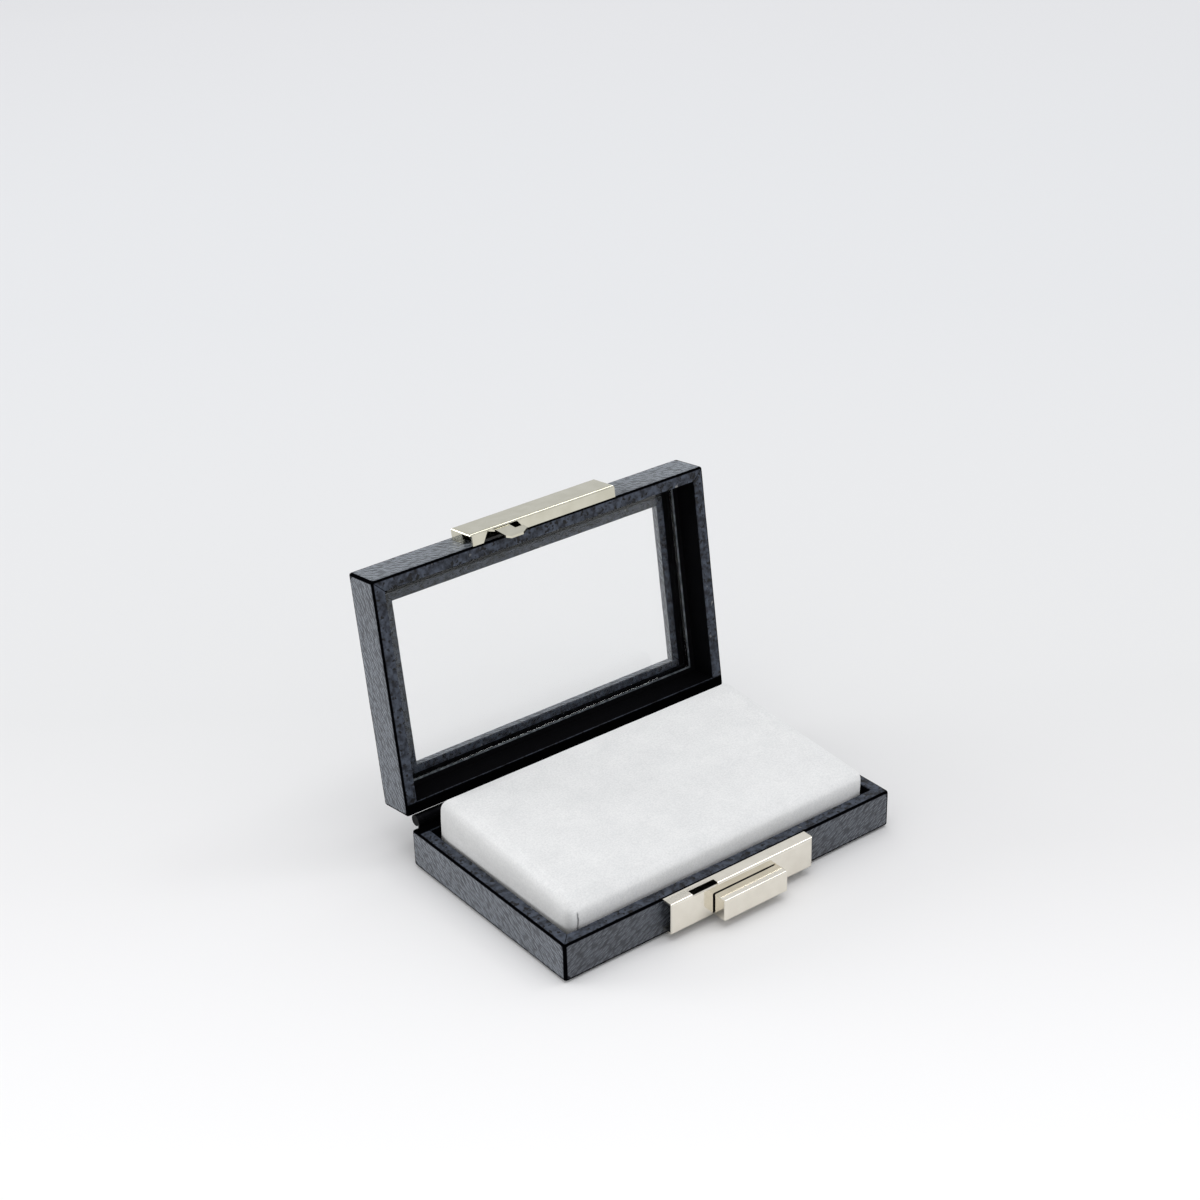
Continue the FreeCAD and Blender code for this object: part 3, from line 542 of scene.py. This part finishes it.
def mapSkin(shell, outer, rimHeight, lookUp):
    # grain runs round the walls at a slant, plan is the place from above, edge is how far the nearest edge is
    halfX, halfY, low, high = outer
    mesh = shell.data
    grain = mesh.uv_layers.new(name="grain")
    plan = mesh.uv_layers.new(name="plan")
    turn = math.radians(leather["slant"])
    for face in mesh.polygons:
        for loop in face.loop_indices:
            place = mesh.vertices[mesh.loops[loop].vertex_index].co
            if abs(face.normal.z) > 0.7:
                run, rise = place.x, place.y
            elif abs(face.normal.x) > abs(face.normal.y):
                run, rise = place.y + 0.3, place.z * lookUp
            else:
                run, rise = place.x - 0.3, place.z * lookUp
            grain.data[loop].uv = (run * math.cos(turn) + rise * math.sin(turn),
                                   rise * math.cos(turn) - run * math.sin(turn))
            plan.data[loop].uv = (place.x, place.y)
    edge = mesh.attributes.new("edge", "FLOAT", "POINT")
    for point, value in zip(mesh.vertices, edge.data):
        place = point.co
        fromRim = abs(place.z - rimHeight)
        fromOthers = sorted((halfX - abs(place.x), halfY - abs(place.y), abs(low + high - rimHeight - place.z)))
        if fromRim < fromOthers[0]:
            value.value = fromOthers[0] + leather["rimEdgeSlack"]
        else:
            value.value = min(fromOthers[1], fromRim + leather["rimEdgeSlack"])
    mesh.materials.clear()
    mesh.materials.append(materials["leatherette"])
    mesh.materials.append(materials["leatheretteRim"])
    rimWay = 1 if rimHeight > (low + high) / 2 else -1
    for face in mesh.polygons:
        nearRim = abs(face.center.z - rimHeight) < 0.7 * mm
        inside = abs(face.center.x) < halfX - 0.3 * mm and abs(face.center.y) < halfY - 0.3 * mm
        face.material_index = 1 if face.normal.z * rimWay > 0.75 or (nearRim and inside) else 0


def dressCover(shell, outer, rimHeight, lookUp, seed):
    # outer is (half width, half depth, low, high) of the walls
    halfX, halfY, low, high = outer

    def isOuterEdge(first, second):
        onSide = all(abs(abs(point.x) - halfX) < 1e-5 or abs(abs(point.y) - halfY) < 1e-5 for point in (first, second))
        corner = all(abs(abs(point.x) - halfX) < 1e-5 and abs(abs(point.y) - halfY) < 1e-5 for point in (first, second))
        level = abs(first.z - second.z) < 1e-6 and (abs(first.z - low) < 1e-5 or abs(first.z - high) < 1e-5)
        return onSide and (corner or level)

    selectEdges(shell, isOuterEdge)
    bpy.ops.mesh.bevel(offset=coverFit["edgeRound"], segments=4, profile=0.5, affect="EDGES")
    finishEdit()
    faceOutwards(shell)
    cutAcross(shell, -halfX, halfX, coverFit["grid"], (1, 0, 0))
    cutAcross(shell, -halfY, halfY, coverFit["grid"], (0, 1, 0))
    cutAcross(shell, low, high, coverFit["grid"], (0, 0, 1))
    applyModifier(shell, "SOLIDIFY", thickness=coverFit["skin"], offset=-1, use_even_offset=True)
    mapSkin(shell, outer, rimHeight, lookUp)
    texture = cloudTexture("skinWaves" + seed, 9 * mm)
    applyModifier(shell, "DISPLACE", texture=texture, texture_coords="LOCAL", strength=coverFit["unevenness"],
                  mid_level=0.85)
    shadeSmooth(shell, 40)


liningLow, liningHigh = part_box("base_lining")
liningThick = 0.3 * mm
mouthX, mouthY = liningHigh.x - liningThick, liningHigh.y - liningThick
underBand = 8 * mm
baseCover = ringShell("baseCover", [
    (-mouthX, mouthX, -mouthY, mouthY, liningHigh.z + 0.02 * mm),
    (-mouthX, mouthX, -mouthY, mouthY, skinHigh.z),
    (-skinHigh.x, skinHigh.x, -skinHigh.y, skinHigh.y, skinHigh.z),
    (-skinHigh.x, skinHigh.x, -skinHigh.y, skinHigh.y, skinLow.z),
    (-skinHigh.x + underBand, skinHigh.x - underBand, -skinHigh.y + underBand, skinHigh.y - underBand, skinLow.z),
])
dressCover(baseCover, (skinHigh.x, skinHigh.y, skinLow.z, skinHigh.z), skinHigh.z, 1, "Base")
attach(baseCover, "base")
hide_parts("base_leatherette_cover")
print("base cover:", len(baseCover.data.polygons), "faces")

lidLow, lidHigh = shutBox("lid_leatherette_cover")
boardLow, boardHigh = shutBox("lid_top_board")
glassLow, glassHigh = shutBox("window_glass")
window = {"side": 8.6 * mm, "front": 8.8 * mm, "back": 7.2 * mm, "turnIn": 1.9 * mm}
windowLeft, windowRight = lidLow.x + window["side"], lidHigh.x - window["side"]
windowFront, windowBack = lidLow.y + window["front"], lidHigh.y - window["back"]
lidCover = ringShell("lidCover", [
    (-mouthX, mouthX, -mouthY, mouthY, lidLow.z + 0.33 * mm),
    (-mouthX, mouthX, -mouthY, mouthY, lidLow.z),
    (lidLow.x, lidHigh.x, lidLow.y, lidHigh.y, lidLow.z),
    (lidLow.x, lidHigh.x, lidLow.y, lidHigh.y, lidHigh.z),
    (windowLeft, windowRight, windowFront, windowBack, lidHigh.z),
    (windowLeft, windowRight, windowFront, windowBack, glassHigh.z),
    (windowLeft - window["turnIn"], windowRight + window["turnIn"],
     windowFront - window["turnIn"], windowBack + window["turnIn"], glassHigh.z),
])
dressCover(lidCover, (lidHigh.x, lidHigh.y, lidLow.z, lidHigh.z), lidLow.z, -1, "Lid")
turnOpen(lidCover)
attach(lidCover, "lid")
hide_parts("lid_leatherette_cover")
print("lid cover:", len(lidCover.data.polygons), "faces")


# The pad: a cloth-covered block, swollen by a cloth simulation, that lies on its front edge
padFit = {
    "halfWidth": 41.0 * mm,
    "halfDepth": 23.5 * mm,
    "middleBack": 0.1 * mm,
    "thick": 11.5 * mm,
    "corner": 1.9 * mm,
    "topEdge": 2.0 * mm,
    "underEdge": 0.8 * mm,
    "voxel": 0.75 * mm,
    "modelScale": 10.0,
    "pressure": 4.0,
    "swellLimit": 0.4 * mm,
    "steps": 15,
    "tilt": 2.3,
    "backLift": 1.5 * mm,
    "napLift": 0.03 * mm,
    "shutThickness": 0.88,
    "clothThick": 0.5 * mm,
}


def makePad():
    clearSelection()
    bpy.ops.mesh.primitive_cube_add(size=1, location=(0, padFit["middleBack"], padFit["thick"] / 2))
    pad = bpy.context.object
    pad.name = "padCover"
    pad.scale = (2 * padFit["halfWidth"], 2 * padFit["halfDepth"], padFit["thick"])
    settle(pad)
    selectEdges(pad, lambda first, second: abs(first.z - second.z) > 1e-5)
    bpy.ops.mesh.bevel(offset=padFit["corner"], segments=8, profile=0.5, affect="EDGES")
    finishEdit()
    for height, radius in ((padFit["thick"], padFit["topEdge"]), (0, padFit["underEdge"])):
        selectEdges(pad, lambda first, second: abs(first.z - height) < 1e-6 and abs(second.z - height) < 1e-6)
        bpy.ops.mesh.bevel(offset=radius, segments=6, profile=0.5, affect="EDGES")
        finishEdit()
    # worked on ten times larger, where the cloth solver is steady
    pad.scale = (padFit["modelScale"],) * 3
    settle(pad)
    applyModifier(pad, "REMESH", mode="VOXEL", voxel_size=padFit["voxel"] * padFit["modelScale"])
    return pad


def swell(pad):
    start = [(point.co.copy(), point.normal.copy()) for point in pad.data.vertices]
    held = pad.vertex_groups.new(name="held")
    held.add([index for index, (place, normal) in enumerate(start) if normal.z < -0.9], 1.0, "ADD")
    pick(pad)
    cloth = pad.modifiers.new("Cloth", "CLOTH")
    cloth.settings.vertex_group_mass = "held"
    cloth.settings.use_pressure = True
    cloth.settings.uniform_pressure_force = padFit["pressure"]
    cloth.settings.effector_weights.gravity = 0
    for number in range(1, padFit["steps"] + 1):
        bpy.context.scene.frame_set(number)
    bpy.ops.object.modifier_apply(modifier=cloth.name)
    bpy.context.scene.frame_set(1)
    # the foam inside lets the cloth swell but not sink
    limit = padFit["swellLimit"] * padFit["modelScale"]
    moves = []
    for point, (before, normal) in zip(pad.data.vertices, start):
        outward = (point.co - before).dot(normal)
        moves.append(outward)
        point.co = before + normal * max(0.0, min(outward, limit))
    pad.vertex_groups.clear()
    print("pad swell:", round(max(moves), 3), "at most, mean", round(sum(moves) / len(moves), 3))


pad = makePad()
swell(pad)
applyModifier(pad, "SMOOTH", factor=0.5, iterations=1)
applyModifier(pad, "SUBSURF", levels=1, render_levels=1)
pad.scale = (1 / padFit["modelScale"],) * 3
settle(pad)
applyModifier(pad, "DISPLACE", texture=cloudTexture("napClouds", 5 * mm, 3), texture_coords="LOCAL",
              strength=2 * padFit["napLift"], mid_level=0.5)
# the back of the block stands higher than the front
for point in pad.data.vertices:
    fromFront = (point.co.y + padFit["halfDepth"]) / (2 * padFit["halfDepth"])
    point.co.z *= 1 + max(0.0, fromFront) * padFit["backLift"] / padFit["thick"]
padLow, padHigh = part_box("pad_cover")
pad.rotation_euler = (math.radians(padFit["tilt"]), 0, 0)
settle(pad)
pad.location = (0, 0, padLow.z - min(point.co.z for point in pad.data.vertices))
settle(pad)
shadeSmooth(pad, 60)

# the foam fills the cloth
clearSelection()
foam = pad.copy()
foam.data = pad.data.copy()
bpy.context.collection.objects.link(foam)
foam.name = "padFoam"
applyModifier(foam, "DECIMATE", decimate_type="UNSUBDIV", iterations=2)
applyModifier(foam, "DISPLACE", strength=-padFit["clothThick"], mid_level=0.0)
for piece, node, slot, finish in ((pad, "pad_cover", "white_velour", "velour"), (foam, "pad_foam", "foam", "foam")):
    dress(piece, finish)
    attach(piece, "base")
    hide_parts(node)
    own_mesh(piece)
    print(piece.name, len(piece.data.polygons), "faces")


# The pane's edge, a thin grey line round the glass
def makePaneEdge():
    width = 0.45 * mm
    lift = 0.04 * mm
    clearSelection()
    centre = (glassLow + glassHigh) / 2
    bpy.ops.mesh.primitive_plane_add(size=1, location=(centre.x, centre.y, glassLow.z - lift))
    edge = bpy.context.object
    edge.name = "paneEdge"
    edge.scale = (glassHigh.x - glassLow.x, glassHigh.y - glassLow.y, 1)
    settle(edge)
    bpy.ops.object.mode_set(mode="EDIT")
    bpy.ops.mesh.select_all(action="SELECT")
    bpy.ops.mesh.inset(thickness=width, use_even_offset=True)
    bpy.ops.mesh.delete(type="FACE")
    finishEdit()
    applyModifier(edge, "SOLIDIFY", thickness=lift, offset=0)
    applyModifier(edge, "BEVEL", width=0.012 * mm, segments=2)
    turnOpen(edge)
    dress(edge, "paneEdge")
    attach(edge, "lid")
    return edge


paneEdge = makePaneEdge()
print("pane edge ready")


# Finishes of the frame's own nodes
nodeFinish = {
    "base_floor_board": "greyBoard",
    "base_wall_front": "greyBoard",
    "base_wall_back": "greyBoard",
    "base_wall_left": "greyBoard",
    "base_wall_right": "greyBoard",
    "lid_wall_front": "blackBoard",
    "lid_wall_back": "blackBoard",
    "lid_wall_left": "blackBoard",
    "lid_wall_right": "blackBoard",
    "lid_top_board": "blackBoard",
    "base_bottom_sheet": "blackPaper",
    "base_lining": "blackFlock",
    "lid_lining": "blackFlock",
    "glass_bead_front": "blackBoard",
    "glass_bead_back": "blackBoard",
    "glass_bead_left": "blackBoard",
    "glass_bead_right": "blackBoard",
    "window_glass": "clearGlass",
    "base_latch_plate": "nickel",
    "lid_latch_plate": "lidNickelShaded",
    "lid_latch_hook": "lidNickelShaded",
    "latch_button": "nickel",
    "base_latch_back_plate": "latchInnardsShade",
    "lid_latch_back_plate": "latchInnardsShade",
    "base_latch_rivets": "latchInnardsShade",
    "lid_latch_rivets": "latchInnardsShade",
    "latch_bolt": "latchInnardsShade",
    "latch_button_studs": "latchInnardsShade",
    "latch_spring": "latchInnardsShade",
    "base_hinge_leaf": "hingeMetalShade",
    "lid_hinge_leaf": "hingeMetalShade",
    "hinge_pin": "hingeMetalShade",
    "base_hinge_nails": "hingeMetalShade",
    "lid_hinge_nails": "hingeMetalShade",
    "pad_foam": "foam",
    "pad_card": "padCard",
    "pad_cover": "velour",
    "base_leatherette_cover": "leatherette",
    "lid_leatherette_cover": "leatherette",
}
for nodeName, finish in nodeFinish.items():
    dress(frame["nodes"][nodeName], finish)
print("frame nodes dressed:", len(nodeFinish))


# Floor, light and camera
studio = {
    "floorSize": 8.0,
    "skyColour": (0.97, 0.98, 1.0, 1),
    "skyStrength": 0.79,
}
lamps = {
    "overheadLamp": {"place": (0.0, 0.0, 1.6), "size": 1.4, "power": 7.4, "spread": 180},
    "frontLamp": {"place": (0.3, -1.2, 0.35), "size": 0.8, "power": 0.25, "spread": 120},
    "leftLamp": {"place": (-1.05, 1.05, 0.14), "size": 0.9, "power": 3.0, "spread": 80},
    "glintLamp": {"place": (0.62, -0.25, 0.98), "size": 0.26, "power": 0.3, "spread": 120},
}
clearSelection()
bpy.ops.mesh.primitive_plane_add(size=studio["floorSize"], location=(0, 0, -0.00002))
floor = bpy.context.object
floor.name = "floor"
settle(floor)
floor.data.materials.append(floorMaterial())

world = bpy.data.worlds.new("softSky")
bpy.context.scene.world = world
world.use_nodes = True
world.node_tree.nodes["Background"].inputs["Color"].default_value = studio["skyColour"]
world.node_tree.nodes["Background"].inputs["Strength"].default_value = studio["skyStrength"]


for lampName, lamp in lamps.items():
    bpy.ops.object.light_add(type="AREA", location=lamp["place"])
    light = bpy.context.object
    light.name = lampName
    light.data.shape = "DISK"
    light.data.size = lamp["size"]
    light.data.energy = lamp["power"]
    light.data.spread = math.radians(lamp["spread"])
    light.rotation_euler = (-Vector(lamp["place"])).to_track_quat("-Z", "Y").to_euler()
bpy.context.scene.view_settings.view_transform = "Standard"

camera = {
    "place": (-0.25963, -0.32668, 0.27962),
    "azimuth": -37.066,
    "elevation": 27.594,
    "roll": -1.575,
    "lens": 67.77,
    "sensor": 36.0,
}
azimuth, elevation = math.radians(camera["azimuth"]), math.radians(camera["elevation"])
back = Vector((math.sin(azimuth) * math.cos(elevation), -math.cos(azimuth) * math.cos(elevation), math.sin(elevation)))
aim = (-back).to_track_quat("-Z", "Y") @ Quaternion((0, 0, 1), math.radians(camera["roll"]))
bpy.ops.object.camera_add(location=camera["place"], rotation=aim.to_euler())
eye = bpy.context.object
eye.data.lens = camera["lens"]
eye.data.sensor_width = camera["sensor"]
eye.data.clip_start = 0.01
eye.data.clip_end = 20.0
bpy.context.scene.camera = eye
print("studio ready")
